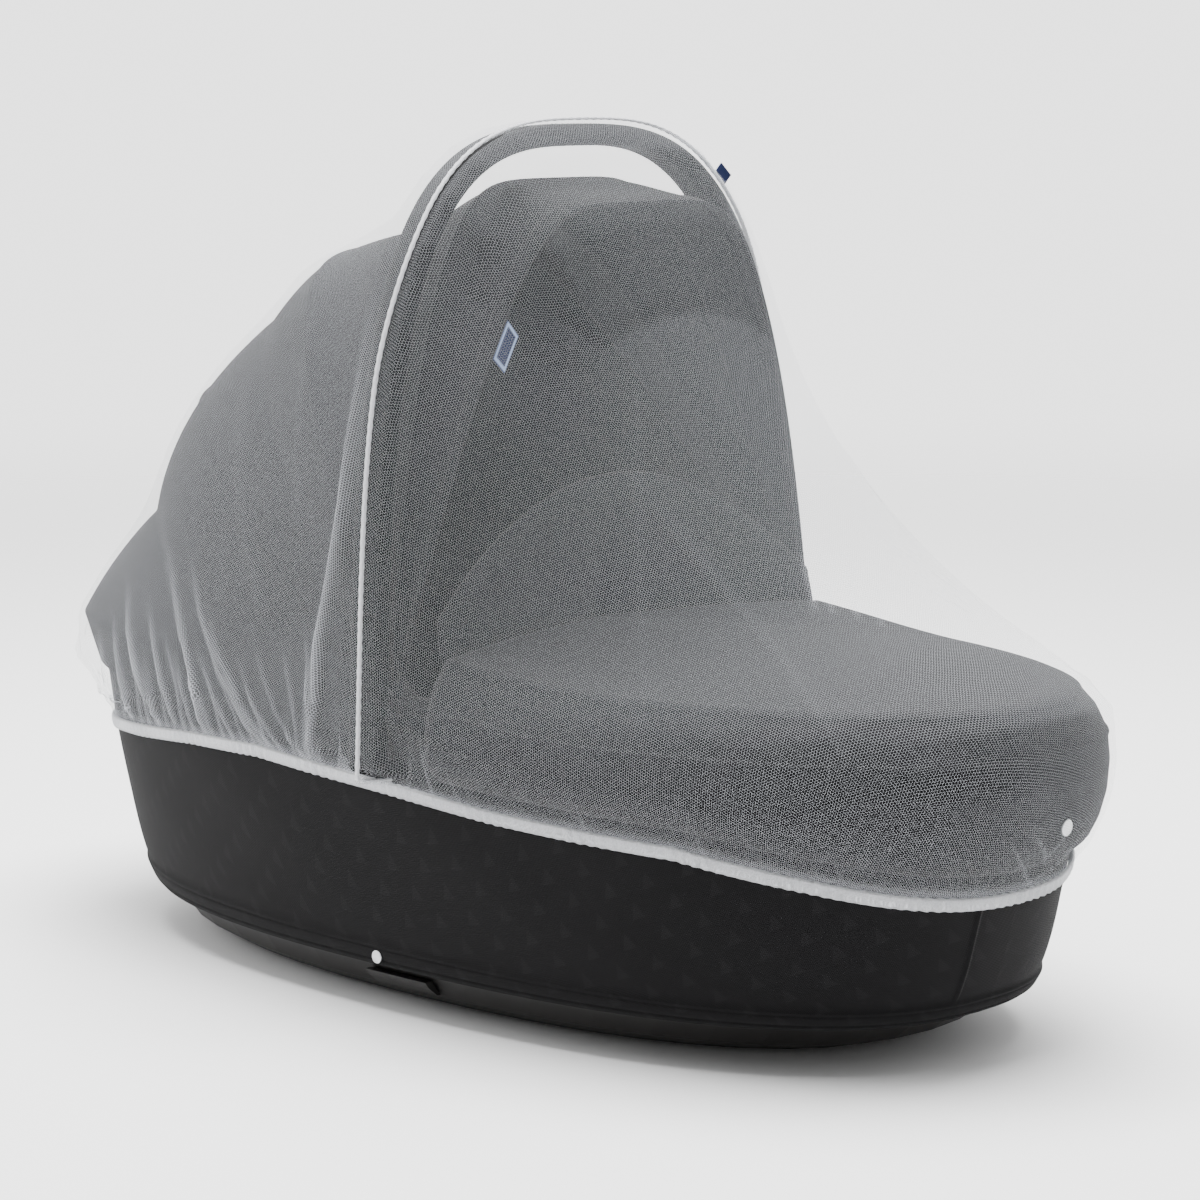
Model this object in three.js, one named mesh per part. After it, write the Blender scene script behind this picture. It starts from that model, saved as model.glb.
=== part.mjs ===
// A stroller mosquito net stretched over its carrycot: two sheer panels, their seam and the elastic
// edge, over a carrying handle, a hood on bows and a foot cover. Millimetres, +X to the foot, +Z up.
import * as THREE from "three";

// Driving dimensions of the carrycot.
const BODY = {
  foot: { z: 30, a: 346, b: 174, n: 2.45, cx: 8 }, // hem of the fabric, above the plastic tray
  rim: { z: 200, a: 405, b: 188, n: 2.3, cx: -2.5 },
  wall: 7,
  floorTop: 44,
  swell: 0.55, // below 1 the walls widen fast above the tray
};
const TRAY = {
  low: { z: 3, a: 300, b: 140, n: 2.3, cx: -8 },
  top: { z: 29.7, a: 338, b: 168, n: 2.4, cx: 5 },
};
const RIM_DROP = 26; // how far the rim falls from the middle to the foot end
const RIM_RISE = 15; // how far it rises from the hood's pivots to the head
const HANDLE = { x: 33, lean: 22, b: 200, flare: 14, low: 168, base: 150, top: 563, n: 2.95, width: 28, thick: 15 };
const PIVOT = { x: 45, z: 200 }; // line that the hood's bows turn on
const HOOD = { b: 192, thick: 3, skirtZ: 182, skirtOut: 3.4, narrowing: 1.2 };
const FLAP = { top: 336, drop: 45, dropAt: 133, half: 176, thick: 3 };
const COVER = { thick: 3, edgeMiddle: 36, stations: 14, lift: 14, swell: 6 };
const NET = {
  thick: 1.2,
  clear: 3.1, // from the middle of the net to the handle
  overHood: 5.2,
  gap: 0.55,
  seam: 5,
  seamThick: 2.2,
  hem: 9,
  hemThick: 2.6,
  grip: 0.8, // between the elastic edge and the body
  edgeGap: 1.6,
  edgeOut: 2.2,
  turnOut: 2.4,
  ribLow: 160, // the net turns in under the handle's leg here
  ring: { up: 11, bare: 5, covered: 12.5 }, // its first line above the elastic edge, and how far out
  settle: 900,
};
const AROUND = 62; // stations round the cot that the tub, cover and elastic edge share
const FEET = { x: 190, y: 82, long: 44, wide: 16, high: 2.7 };

// One row for each station of the hood, from its front edge over the bows to the rim at the head.
const HOOD_STATIONS = [
  { angle: -6, radius: 313, taper: 0.46, n: 5.6 },
  { angle: 8, radius: 328, taper: 0.44, n: 5 },
  { angle: 20, radius: 316, taper: 0.42, n: 4.4 },
  { angle: 33, radius: 331, taper: 0.3, n: 4.6 },
  { angle: 47, radius: 348, taper: 0.32, n: 3.6 },
  { angle: 60, radius: 365, taper: 0.29, n: 4 },
  { angle: 75, radius: 387, taper: 0.04, n: 2.6 },
  { angle: 88, radius: 459, taper: 0, n: 2.6 },
];
// Height of the elastic edge's lower side along the cot.
const HEM_STATIONS = [
  { x: -410, z: 129 },
  { x: -300, z: 139 },
  { x: -180, z: 150 },
  { x: -100, z: 153 },
  { x: 30, z: 146 },
  { x: 120, z: 139 },
  { x: 250, z: 132 },
  { x: 330, z: 118 },
  { x: 410, z: 101 },
];
// Cross-section of the foot cover at the foot end: its height, and how far it stands out from the body.
const COVER_PROFILE = [
  { z: 121, out: 2 },
  { z: 130, out: 9 },
  { z: 142, out: 12.5 },
  { z: 160, out: 14.5 },
  { z: 180, out: 13.5 },
  { z: 196, out: 10 },
  { z: 211, out: 3 },
  { z: 224, out: -9 },
  { z: 233, out: -60 },
  { z: 240, out: -140 },
];
// Main folds of the rear panel. Each runs up from the elastic edge at a turn round the cot in degrees
// (90 at the near side, 180 at the head), with its width in degrees, and its height and reach in mm.
const FOLDS = [
  { turn: 99, wide: 3.4, high: 5, reach: 110 },
  { turn: 112, wide: 4, high: 4, reach: 85 },
  { turn: 124, wide: 3.4, high: 6, reach: 120 },
  { turn: 134, wide: 3, high: 5, reach: 80 },
  { turn: 143, wide: 2.8, high: 6, reach: 130 },
  { turn: 153, wide: 3, high: 5, reach: 90 },
  { turn: 165, wide: 3.4, high: 4, reach: 105 },
  { turn: 178, wide: 3.8, high: 4, reach: 75 },
  { turn: 191, wide: 3.6, high: 4, reach: 110 },
  { turn: 204, wide: 3.2, high: 5, reach: 85 },
  { turn: 215, wide: 3, high: 6, reach: 120 },
  { turn: 226, wide: 3.2, high: 5, reach: 80 },
  { turn: 238, wide: 3.6, high: 5, reach: 100 },
  { turn: 252, wide: 3.8, high: 4, reach: 90 },
];

const V = (x, y, z) => new THREE.Vector3(x, y, z);
const mix = (a, b, t) => a + (b - a) * t;
const clamp = (v, low = 0, high = 1) => Math.min(high, Math.max(low, v));
const ease = (v) => clamp(v) ** 2 * (3 - 2 * clamp(v));
const signedPower = (v, p) => Math.sign(v) * Math.abs(v) ** p;

// The value of a table's column between two of its rows.
function along(table, key, at, column) {
  let i = table.findIndex((row) => row[key] >= at);
  if (i < 0) i = table.length - 1;
  i = Math.max(1, i);
  const [p, q] = [table[i - 1], table[i]];
  return mix(p[column], q[column], clamp((at - p[key]) / (q[key] - p[key])));
}

// Points of a curve, evenly spaced along it.
function evenly(curve, count, from = 0, to = 1) {
  const fine = Array.from({ length: 401 }, (_, i) => curve(i / 400));
  const length = [0];
  for (let i = 1; i < fine.length; i++) length.push(length[i - 1] + fine[i].distanceTo(fine[i - 1]));
  const total = length[400];
  return Array.from({ length: count + 1 }, (_, k) => {
    const at = mix(from, to, k / count) * total;
    let i = length.findIndex((l) => l >= at);
    i = i < 1 ? 1 : i;
    return fine[i - 1].clone().lerp(fine[i], clamp((at - length[i - 1]) / (length[i] - length[i - 1])));
  });
}

// Geometry from rows of points. Both ends of a closed outline are capped, unless the rows form a loop.
function skin(rows, { around = true, loop = false, cap = true } = {}) {
  const points = rows.flat();
  const faces = [];
  const wide = rows[0].length;
  const tall = rows.length;
  const quad = (a, b, c, d) => faces.push([a, b, c], [a, c, d]);
  for (let i = 0; i < (loop ? tall : tall - 1); i++)
    for (let j = 0; j < (around ? wide : wide - 1); j++) {
      const [i2, j2] = [(i + 1) % tall, (j + 1) % wide];
      quad(i * wide + j, i * wide + j2, i2 * wide + j2, i2 * wide + j);
    }
  if (cap && !loop)
    for (const [row, turned] of [[0, true], [tall - 1, false]]) {
      const middle = rows[row].reduce((s, p) => s.add(p), V(0, 0, 0)).divideScalar(wide);
      points.push(middle);
      for (let j = 0; j < wide; j++) {
        const [a, b] = [row * wide + j, row * wide + ((j + 1) % wide)];
        faces.push(turned ? [points.length - 1, b, a] : [points.length - 1, a, b]);
      }
    }
  return geometry(points, faces);
}

// A thin sheet's solid, from its middle surface as rows of points.
function sheet(rows, thick) {
  const normals = rows.map((row, i) =>
    row.map((_, j) => {
      const n = V(0, 0, 0);
      for (const [di, dj] of [[0, 0], [-1, 0], [0, -1], [-1, -1]]) {
        const [p, q, r, s] = [[0, 0], [0, 1], [1, 1], [1, 0]].map(([u, v]) => rows[i + di + u]?.[j + dj + v]);
        if (!p || !q || !r || !s) continue;
        n.add(r.clone().sub(p).cross(s.clone().sub(q)).normalize());
      }
      return n.normalize();
    }),
  );
  rows.forEach((row, i) => {
    if (row.some((p) => p.distanceTo(row[0]) > 1e-6)) return;
    const shared = normals[i].reduce((sum, n) => sum.add(n), V(0, 0, 0)).normalize();
    normals[i] = row.map(() => shared);
  });
  const side = (d) => rows.map((row, i) => row.map((p, j) => p.clone().addScaledVector(normals[i][j], d)));
  const [tall, wide] = [rows.length, rows[0].length];
  const points = [...side(thick / 2).flat(), ...side(-thick / 2).flat()];
  const under = tall * wide;
  const faces = [];
  const quad = (a, b, c, d) => faces.push([a, b, c], [a, c, d]);
  const at = (i, j) => i * wide + j;
  for (let i = 0; i < tall - 1; i++)
    for (let j = 0; j < wide - 1; j++) {
      const [a, b, c, d] = [at(i, j), at(i, j + 1), at(i + 1, j + 1), at(i + 1, j)];
      quad(a, b, c, d);
      quad(under + d, under + c, under + b, under + a);
    }
  const edge = [];
  for (let j = 0; j < wide - 1; j++) edge.push(at(0, j));
  for (let i = 0; i < tall - 1; i++) edge.push(at(i, wide - 1));
  for (let j = wide - 1; j > 0; j--) edge.push(at(tall - 1, j));
  for (let i = tall - 1; i > 0; i--) edge.push(at(i, 0));
  edge.forEach((a, k) => {
    const b = edge[(k + 1) % edge.length];
    quad(b, a, under + a, under + b);
  });
  return geometry(points, faces);
}

// A closed geometry that faces out, without the faces that have shrunk to nothing.
function geometry(points, faces) {
  const kept = faces.filter(([a, b, c]) => {
    const [p, q, r] = [points[a], points[b], points[c]];
    return p.distanceTo(q) > 1e-3 && q.distanceTo(r) > 1e-3 && r.distanceTo(p) > 1e-3;
  });
  const volume = kept.reduce((s, [a, b, c]) => s + points[a].dot(points[b].clone().cross(points[c])), 0);
  const flat = kept.flatMap(([a, b, c]) => (volume > 0 ? [a, b, c] : [a, c, b])).flatMap((i) => points[i].toArray());
  const made = new THREE.BufferGeometry();
  made.setAttribute("position", new THREE.Float32BufferAttribute(flat, 3));
  made.computeVertexNormals();
  return made;
}

// Outlines of the tray, body and rim: superellipses whose sizes change with height.
function outline(s, turn, out = 0) {
  const [c, d] = [Math.cos(turn), Math.sin(turn)];
  return V(s.cx + signedPower(c, 2 / s.n) * (s.a + out), signedPower(d, 2 / s.n) * (s.b + out), s.z);
}
function between(low, high, share) {
  const made = {};
  for (const key of Object.keys(low)) made[key] = mix(low[key], high[key], share);
  return made;
}
function bodyAt(z) {
  const share = clamp((z - BODY.foot.z) / (BODY.rim.z - BODY.foot.z), 0, 1.2);
  return { ...between(BODY.foot, BODY.rim, share ** BODY.swell), z };
}
const rimDrop = (x) => RIM_DROP * ease(x / 380) - RIM_RISE * clamp((PIVOT.x - x) / 450);
const ringOf = (shape, out, count) =>
  Array.from({ length: count }, (_, i) => outline(shape, (i / count) * 2 * Math.PI, out));

// Where a level line meets the body's outside, at a place along the cot and a height.
function bodyHalfWidth(x, z) {
  const s = bodyAt(z);
  return s.b * Math.max(0, 1 - Math.abs((x - s.cx) / s.a) ** s.n) ** (1 / s.n);
}

// The carrying handle's middle line on its outer face, from the near leg over the top to the far leg.
function handleAt(turn, dx = 0, out = 0) {
  const rise = Math.sin(turn) ** (2 / HANDLE.n);
  const z = mix(HANDLE.base, HANDLE.top + out, rise);
  const half = HANDLE.b + out + HANDLE.flare * (1 - rise) ** 3;
  return V(HANDLE.x - HANDLE.lean * rise + dx, -signedPower(Math.cos(turn), 2 / HANDLE.n) * half, z);
}
const turnAtHeight = (z) => Math.asin(((z - HANDLE.base) / (HANDLE.top - HANDLE.base)) ** (HANDLE.n / 2));
const legTurn = turnAtHeight(HANDLE.low);
// The seam runs along the middle of the legs and forward on the top of the handle.
const seamShift = (z) => mix(2, 9, ease((z - 400) / 110));

// A point of the hood, or of a surface a little outside it.
function hoodAt(angle, turn, out = 0) {
  const s = (column) => along(HOOD_STATIONS, "angle", angle, column);
  const n = s("n");
  const rise = Math.sin(turn) ** (2 / n);
  const half = (HOOD.b + out) * (1 - s("taper") * rise ** HOOD.narrowing);
  const radius = rise * (s("radius") + out);
  const lean = (angle * Math.PI) / 180;
  const y = -signedPower(Math.cos(turn), 2 / n) * half;
  return V(PIVOT.x - radius * Math.sin(lean), y, PIVOT.z + radius * Math.cos(lean));
}

// How far the foot cover lies above its profile at the foot: its lower side follows the elastic edge.
function coverLift(x, z) {
  const hem = along(HEM_STATIONS, "x", x, "z") - HEM_STATIONS.at(-1).z;
  return mix(hem, COVER.lift * (1 - ease(x / 220)), ease((z - COVER_PROFILE[0].z) / 70));
}
// How far the cover stands out from the body there or a little lower, and the body's outline at that level.
function coverAt(x, z, lower = 0) {
  const profile = (at) => along(COVER_PROFILE, "z", at, "out");
  let level = z;
  for (let k = 0; k < 8; k++) level = z - coverLift(x, level);
  return { body: bodyAt(Math.min(z, BODY.rim.z)), out: Math.max(profile(level), profile(level - lower)) };
}

// Keeps a point of the net outside the hood, the cover and the body.
function keepOutside(p, clear) {
  const [dx, dz] = [PIVOT.x - p.x, p.z - PIVOT.z];
  const angle = (Math.atan2(dx, dz) * 180) / Math.PI;
  if (dz > -17 && angle > -7.8) {
    for (let k = 0; k < 3; k++) {
      const reach = Math.hypot(PIVOT.x - p.x, p.z - PIVOT.z);
      const h = reach / (along(HOOD_STATIONS, "angle", angle, "radius") + clear);
      const n = along(HOOD_STATIONS, "angle", angle, "n");
      const taper = along(HOOD_STATIONS, "angle", angle, "taper");
      const half = (HOOD.b + clear) * (1 - taper * Math.min(h, 1) ** HOOD.narrowing);
      const level = ((Math.abs(p.y) / half) ** n + h ** n) ** (1 / n);
      if (level >= 1 || level < 0.3) break;
      p.x = PIVOT.x + (p.x - PIVOT.x) / level;
      p.z = PIVOT.z + (p.z - PIVOT.z) / level;
      p.y /= level;
    }
  }
  const top = BODY.rim.z - rimDrop(p.x);
  const covered = p.x > COVER.edgeMiddle + 20;
  if (p.z < (covered ? 250 : top + 3)) {
    const bare = { body: bodyAt(Math.min(p.z, top)), out: 1 + 3 * ease((p.z - 168) / 14) };
    const { body, out } = covered ? coverAt(p.x, p.z, clear) : bare;
    const reach = out + clear;
    const level = (Math.abs((p.x - body.cx) / (body.a + reach)) ** body.n + Math.abs(p.y / (body.b + reach)) ** body.n) ** (1 / body.n);
    if (level < 1 && level > 0.4) {
      p.x = body.cx + (p.x - body.cx) / level;
      p.y /= level;
    }
  }
  return p;
}

// The line of the elastic edge round the cot, at a height above its own lower side.
function hemAt(turn, up = 0, out = 0) {
  const place = outline(BODY.rim, turn);
  const z = along(HEM_STATIONS, "x", place.x, "z") + up;
  return outline(bodyAt(z), turn, out);
}
// The place round an outline of a point that lies near it.
const turnOf = (p, s) => Math.atan2(signedPower(p.y / s.b, s.n / 2), signedPower((p.x - s.cx) / s.a, s.n / 2));
// The net's first line above its elastic edge, where it stands out over the foot cover's edge.
function ringAt(p) {
  const { up, bare, covered } = NET.ring;
  const out = mix(bare, covered, ease((p.x - 20) / 60));
  return hemAt(turnOf(p, bodyAt(p.z)), NET.hem + NET.edgeGap + up, out);
}
const nearSeamTurn = -Math.acos((HANDLE.x / BODY.rim.a) ** (BODY.rim.n / 2));

// A line of the net from the near elastic edge, out round the leg's end, over the handle and down again.
function ribLine(dx, count, follow = 0) {
  const start = turnAtHeight(NET.ribLow);
  const over = evenly((share) => handleAt(mix(start, Math.PI - start, share), dx, NET.clear), 60);
  for (const p of over) p.x += follow * seamShift(p.z);
  const end = (side, x) => {
    const z = along(HEM_STATIONS, "x", x, "z") + NET.hem + NET.edgeGap;
    return V(x, side * (bodyHalfWidth(x, z) + NET.edgeOut), z);
  };
  const line = new THREE.CatmullRomCurve3([end(-1, over[0].x), ...over, end(1, over[60].x)], false, "centripetal");
  return evenly((share) => line.getPoint(share), count);
}

// One panel of the net, as rows of arches from the seam to the end of the cot. Its first two rows lie on
// the handle, its sides and last row on the elastic edge, and the rest settles between like a taut film.
function netPanel(side, tall, wide, sideShare) {
  const turnAt = (share) =>
    side > 0 ? mix(nearSeamTurn, -nearSeamTurn, share) : mix(nearSeamTurn, -nearSeamTurn - 2 * Math.PI, share);
  const hemCurve = (share) => hemAt(turnAt(share), NET.hem + NET.edgeGap, NET.edgeOut);
  const first = ribLine(side * (NET.seam / 2 + NET.gap), wide, 1);
  const second = ribLine(side * (HANDLE.width / 2 + NET.turnOut), wide);
  const sides = evenly(hemCurve, 200);
  const last = evenly(hemCurve, wide, sideShare, 1 - sideShare);
  const startShare = sides.findIndex((p) => side * (p.x - second[0].x) > 6) / 200;
  const rows = [first, second];
  for (let i = 2; i <= tall; i++) {
    const share = (i - 1) / (tall - 1);
    const at = mix(startShare, sideShare, share);
    const [near] = evenly(hemCurve, 1, at, 1);
    const [far] = evenly(hemCurve, 1, 1 - at, 1);
    rows.push(
      second.map((p, j) => {
        if (i === tall) return last[j].clone();
        if (j === 0) return near.clone();
        if (j === wide) return far.clone();
        const across = j / wide;
        const corners = second[0].clone().lerp(second[wide], across);
        corners.lerp(last[0].clone().lerp(last[wide], across), share);
        return p.clone().lerp(last[j], share).add(near.clone().lerp(far, across)).sub(corners);
      }),
    );
  }
  for (let i = 2; i < tall; i++) {
    rows[i][1] = ringAt(rows[i][0]);
    rows[i][wide - 1] = ringAt(rows[i][wide]);
  }
  for (let j = 1; j < wide; j++) rows[tall - 1][j] = ringAt(rows[tall][j]);
  for (let step = 0; step < NET.settle; step++)
    for (let i = 2; i < tall - 1; i++)
      for (let j = 2; j < wide - 1; j++) {
        const mean = V(0, 0, 0).add(rows[i - 1][j]).add(rows[i + 1][j]).add(rows[i][j - 1]).add(rows[i][j + 1]);
        rows[i][j].lerp(mean.divideScalar(4), 1.4);
        keepOutside(rows[i][j], NET.overHood);
      }
  for (let step = 0; step < 12; step++) keepMiddlesOutside(rows);
  return rows;
}

// Moves points of the net out where the middle between two of them lies too near what is below.
function keepMiddlesOutside(rows) {
  const [tall, wide] = [rows.length - 1, rows[0].length - 1];
  const free = (i, j) => i > 1 && i < tall - 1 && j > 1 && j < wide - 1;
  for (let i = 1; i < tall - 1; i++)
    for (let j = 1; j < wide - 1; j++)
      for (const [di, dj] of [[0, 1], [1, 0], [1, 1], [1, -1]]) {
        const [p, q] = [rows[i][j], rows[i + di][j + dj]];
        const middle = p.clone().add(q).divideScalar(2);
        const push = keepOutside(middle.clone(), NET.overHood).sub(middle);
        if (push.length() > 30) continue;
        if (free(i, j)) p.add(push);
        if (free(i + di, j + dj)) q.add(push);
      }
}

// Raises the gathers that run up from the elastic edge.
function gathered(rows) {
  const [tall, wide] = [rows.length - 1, rows[0].length - 1];
  for (let i = 2; i < tall - 1; i++)
    for (let j = 2; j < wide - 1; j++) {
      const p = rows[i][j];
      const turn = ((Math.atan2(-p.y * 2, p.x - HANDLE.x) * 180) / Math.PI + 360) % 360;
      const height = p.z - along(HEM_STATIONS, "x", p.x, "z") - NET.hem;
      const outward = V(p.x / 4, p.y, 20).normalize();
      for (const f of FOLDS) {
        const hump = Math.exp(-(((turn - f.turn) / f.wide) ** 2));
        p.addScaledVector(outward, f.high * hump * ease(1 - height / f.reach) * ease(height / 12));
      }
    }
  return rows;
}

// A strip of cloth that follows a line, and the direction across it at each of the line's points.
function strip(line, acrossAt, half, thick, loop) {
  const rows = line.map((p, i) => {
    const before = line[i - 1] ?? (loop ? line.at(-1) : p);
    const after = line[i + 1] ?? (loop ? line[0] : p);
    const across = acrossAt(i);
    const out = after.clone().sub(before).cross(across).normalize();
    const [w, t] = [half, thick / 2];
    return [[-w, 0], [-w * 0.7, -t], [w * 0.7, -t], [w, 0], [w * 0.7, t], [-w * 0.7, t]].map(([u, v]) =>
      p.clone().addScaledVector(across, u).addScaledVector(out, v),
    );
  });
  return skin(rows, { loop });
}

function tub() {
  const level = (share, out) =>
    Array.from({ length: AROUND }, (_, i) => {
      const turn = (i / AROUND) * 2 * Math.PI;
      const top = BODY.rim.z - rimDrop(outline(BODY.rim, turn).x);
      return outline(bodyAt(mix(BODY.foot.z, top, share)), turn, out);
    });
  const floor = ringOf(bodyAt(BODY.floorTop), -BODY.wall, AROUND);
  const inner = [1, 0.7, 0.4].map((share) => level(share, -BODY.wall));
  return skin([...[0, 0.06, 0.16, 0.34, 0.6, 0.985].map((share) => level(share, 0)), level(1, -1.5), ...inner, floor]);
}

function tray() {
  const middle = { ...between(TRAY.low, TRAY.top, 0.55), z: 12 };
  return skin([TRAY.low, middle, TRAY.top].map((s) => ringOf(s, 0, 40)));
}
const trayHalfWidth = (x, z) => {
  const s = between({ ...between(TRAY.low, TRAY.top, 0.55), z: 12 }, TRAY.top, (z - 12) / (TRAY.top.z - 12));
  return s.b * (1 - Math.abs((x - s.cx) / s.a) ** s.n) ** (1 / s.n);
};

function handle() {
  const [w, t] = [HANDLE.width / 2, HANDLE.thick];
  const section = [[-w, 2.5], [-w + 3, 0], [w - 3, 0], [w, 2.5], [w, t - 2.5], [w - 3, t], [-w + 3, t], [-w, t - 2.5]];
  const path = evenly((share) => V(mix(legTurn, Math.PI - legTurn, share), 0, 0), 400);
  const turns = path.map((p) => p.x);
  const line = turns.map((turn) => handleAt(turn));
  const length = [0];
  line.forEach((p, i) => i && length.push(length[i - 1] + p.distanceTo(line[i - 1])));
  const rows = Array.from({ length: 41 }, (_, k) => {
    const i = length.findIndex((l) => l >= (k / 40) * length[400] - 1e-6);
    const [a, b] = [line[Math.max(i - 2, 0)], line[Math.min(i + 2, 400)]];
    const inward = V(0, -(b.z - a.z), b.y - a.y).normalize();
    return section.map(([dx, into]) => line[i].clone().add(V(dx, -inward.y * into, -inward.z * into)));
  });
  return skin(rows);
}

// A pin between each leg of the handle and the tub's wall.
function pivot(side) {
  const [r, z] = [6, HANDLE.low + 6.6];
  const inner = bodyHalfWidth(HANDLE.x, z + r) + 0.3;
  const outer = HANDLE.b + HANDLE.flare * (1 - (z + r - HANDLE.base) / 416) ** 3 - HANDLE.thick - 0.4;
  const made = new THREE.CylinderGeometry(r, r, outer - inner, 20);
  made.translate(HANDLE.x, side * ((inner + outer) / 2), z);
  return made;
}

function hood() {
  const angles = [-6, -1, 5, 12, 20, 27, 33, 40, 47, 54, 60, 67, 75, 82, 88];
  const rows = angles.map((angle) => evenly((share) => hoodAt(angle, share * Math.PI), 26));
  const skirt = rows.at(-1).map((p) => {
    return outline(bodyAt(HOOD.skirtZ), turnOf(p, BODY.rim), HOOD.skirtOut);
  });
  return sheet([...rows, skirt], HOOD.thick);
}

function coverRows() {
  const pole = V(COVER.edgeMiddle, 0, 0);
  const skirt = COVER_PROFILE.slice(0, 8);
  const turns = Array.from({ length: 2 * COVER.stations + 1 }, (_, j) => ((j - COVER.stations) / AROUND) * 2 * Math.PI);
  const rows = skirt.map(({ z, out }) =>
    turns.map((turn) => {
      const height = z + coverLift(outline(bodyAt(z), turn, out).x, z);
      return outline(bodyAt(Math.min(height, BODY.rim.z)), turn, out).setZ(height);
    }),
  );
  const ridge = rows.at(-1);
  const crown = skirt[7].z + coverLift(COVER.edgeMiddle, skirt[7].z);
  for (const share of [0.86, 0.66, 0.42, 0.2, 0])
    rows.push(
      ridge.map((p) => {
        const swell = COVER.swell * (1 - share ** 2) * (0.3 + 0.7 * share);
        return pole.clone().lerp(p, share).setZ(mix(crown, p.z, share) + swell);
      }),
    );
  return rows;
}

function flap(rows) {
  const edge = [...rows.slice(7).map((row) => row[0]), ...rows.slice(7, -1).reverse().map((row) => row.at(-1))];
  const line = new THREE.CatmullRomCurve3(edge, false, "centripetal");
  const base = evenly((share) => line.getPoint(share), 24).filter((p) => Math.abs(p.y) < FLAP.half);
  const tall = 5;
  return Array.from({ length: tall + 1 }, (_, i) =>
    base.map((p) => {
      const top = FLAP.top - FLAP.drop * (p.y / FLAP.dropAt) ** 2;
      const share = i / tall;
      const lean = mix(p.x - FLAP.thick / 2 - 0.6, 52 + 8 * (p.y / FLAP.dropAt) ** 2, share ** 1.6);
      return V(lean - 6 * share * (1 - share), p.y, mix(p.z - 1, Math.max(top, p.z + 14), share));
    }),
  );
}

function latch(side) {
  const rows = [-10, 4, 18, 32, 46].map((x) =>
    [[0.5, 14], [0.5, 24], [6.5, 24], [6.5, 20], [3.5, 14]].map(([out, z]) => V(x, side * (trayHalfWidth(x, z) + out), z)),
  );
  return skin(rows);
}

// A fabric label at the hood's front edge on the near side, turned in over the opening.
function hoodLabel() {
  const rows = [[-6.2, 0], [-6.5, -6.5], [-6.8, -13]].map(([angle, out]) =>
    [0.245, 0.29, 0.335].map((turn) => hoodAt(angle, turn * 0.5 * Math.PI, out)),
  );
  return sheet(rows, 1);
}

const finish = (color, roughness, metalness = 0) => new THREE.MeshStandardMaterial({ color, roughness, metalness });
const netCloth = finish("#e9eef2", 0.8);
const whiteEdge = finish("#f4f5f6", 0.9);
const blackFabric = finish("#17181a", 0.92);
const greyPlastic = finish("#3a3835", 0.55);
const rubber = finish("#1d1d1e", 0.85);
const navyTape = finish("#1f2c4d", 0.8);
const paleMetal = finish("#d9dadb", 0.35, 0.6);

const group = new THREE.Group();
function add(name, made, material) {
  const mesh = new THREE.Mesh(made, material);
  mesh.name = name;
  group.add(mesh);
}

add("tray", tray(), greyPlastic);
for (const [i, [sx, sy]] of [[1, -1], [1, 1], [-1, -1], [-1, 1]].entries()) {
  const foot = new THREE.BoxGeometry(FEET.long, FEET.wide, FEET.high);
  foot.translate(sx * FEET.x + TRAY.low.cx, sy * FEET.y, FEET.high / 2);
  add(`foot_${i + 1}`, foot, rubber);
}
add("latch_near", latch(-1), greyPlastic);
add("latch_far", latch(1), greyPlastic);
add("tub", tub(), blackFabric);
add("handle", handle(), blackFabric);
add("handle_pivot_near", pivot(-1), greyPlastic);
add("handle_pivot_far", pivot(1), greyPlastic);
add("hood", hood(), blackFabric);
const coverSurface = coverRows();
add("cover", sheet(coverSurface, COVER.thick), blackFabric);
add("cover_flap", sheet(flap(coverSurface), FLAP.thick), blackFabric);
add("hood_label", hoodLabel(), navyTape);
add("net_front", sheet(netPanel(1, 20, 30, 0.24), NET.thick), netCloth);
add("net_rear", sheet(gathered(netPanel(-1, 24, 34, 0.3)), NET.thick), netCloth);
add("net_seam", strip(ribLine(0, 60, 1), () => V(1, 0, 0), NET.seam / 2, NET.seamThick, false), whiteEdge);
const hemPoint = (i, up) => hemAt((i / AROUND) * Math.PI, up, NET.hemThick / 2 + NET.grip);
const hemLine = Array.from({ length: 2 * AROUND }, (_, i) => hemPoint(i, NET.hem / 2));
const upTheWall = (i) => hemPoint(i, NET.hem).sub(hemPoint(i, 0)).normalize();
add("net_elastic", strip(hemLine, upTheWall, NET.hem / 2, NET.hemThick, true), whiteEdge);

const footSnap = new THREE.CylinderGeometry(5, 5.6, 1.2, 20);
const coverEnd = (z) => {
  const { body, out } = coverAt(BODY.rim.a, z);
  return body.cx + body.a + out + COVER.thick / 2;
};
footSnap.rotateZ(-Math.PI / 2);
footSnap.rotateY(Math.atan((coverEnd(156) - coverEnd(144)) / 12));
footSnap.translate(coverEnd(150) + 0.9, 14, 150);
add("snap_foot", footSnap, paleMetal);
const sideSnap = new THREE.CylinderGeometry(4, 4.6, 1.6, 20);
sideSnap.translate(10, -bodyHalfWidth(10, 41) - 1.2, 36.4);
add("snap_side", sideSnap, paleMetal);

const tabSpot = handleAt(Math.PI * 0.675, 0, NET.clear);
const tab = new THREE.BoxGeometry(1.2, 13, 8);
tab.translate(0, 0, 4 + NET.seamThick / 2 + NET.gap);
tab.rotateX(-Math.PI * 0.23);
tab.translate(tabSpot.x + seamShift(tabSpot.z), tabSpot.y, tabSpot.z);
add("net_tab", tab, navyTape);

// The frame's origin is the middle of the whole part's underside.
const box = new THREE.Box3().setFromObject(group);
group.position.set(-(box.min.x + box.max.x) / 2, -(box.min.y + box.max.y) / 2, -box.min.z);

export default group;
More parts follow.
